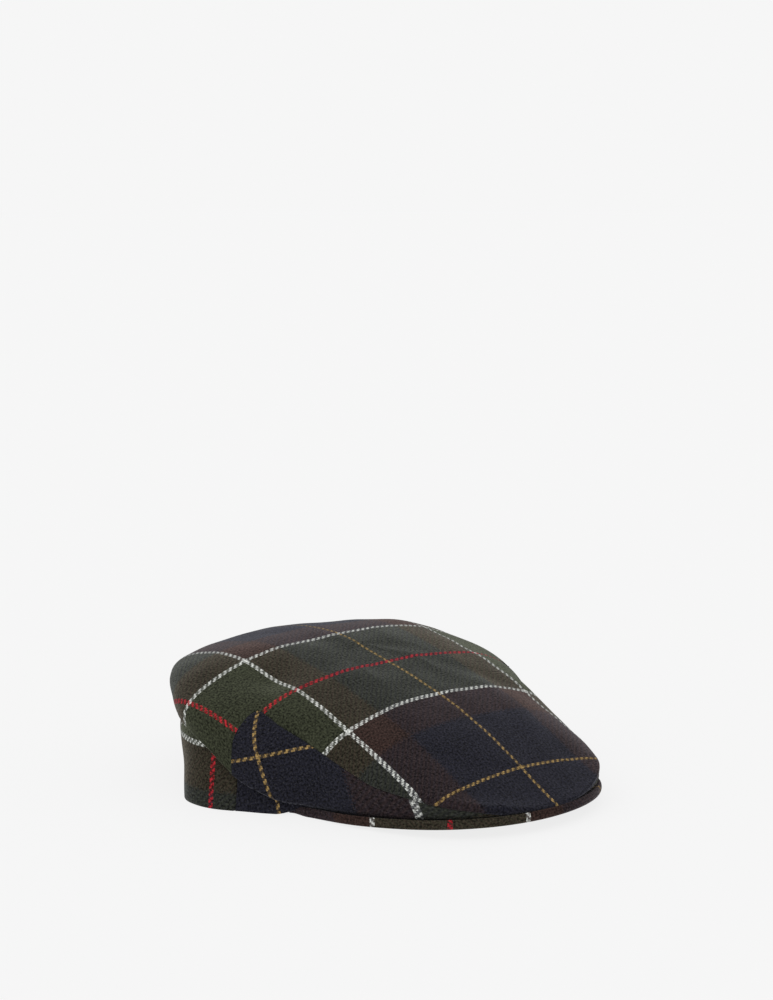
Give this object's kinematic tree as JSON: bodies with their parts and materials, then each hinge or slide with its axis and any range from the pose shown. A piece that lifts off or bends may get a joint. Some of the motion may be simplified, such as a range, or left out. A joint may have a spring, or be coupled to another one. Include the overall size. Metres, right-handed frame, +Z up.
{
  "type": "flat cap",
  "caption": "Soft flat cap of checked wool twill, its crown drawn forward over a stiff rolled-edge peak, with wedge side panels and a back band under a soft fold, open below for the head",
  "frame": {"origin": "on the surface that the cap lies on, under the middle of its bounding box", "axes": "+Z up, -Y the way the peak points, -X the wearer's right side"},
  "size_m": [0.2168, 0.2547, 0.0742],
  "materials": {
    "checked_wool": "matte, slightly fulled wool twill in a navy, dark green and brown check with white, red and gold lines"
  },
  "bodies": {
    "root": {"crown_panel": "checked_wool", "side_panel_right": "checked_wool", "side_panel_left": "checked_wool", "back_band": "checked_wool", "peak": "checked_wool"}
  },
  "joints": []
}
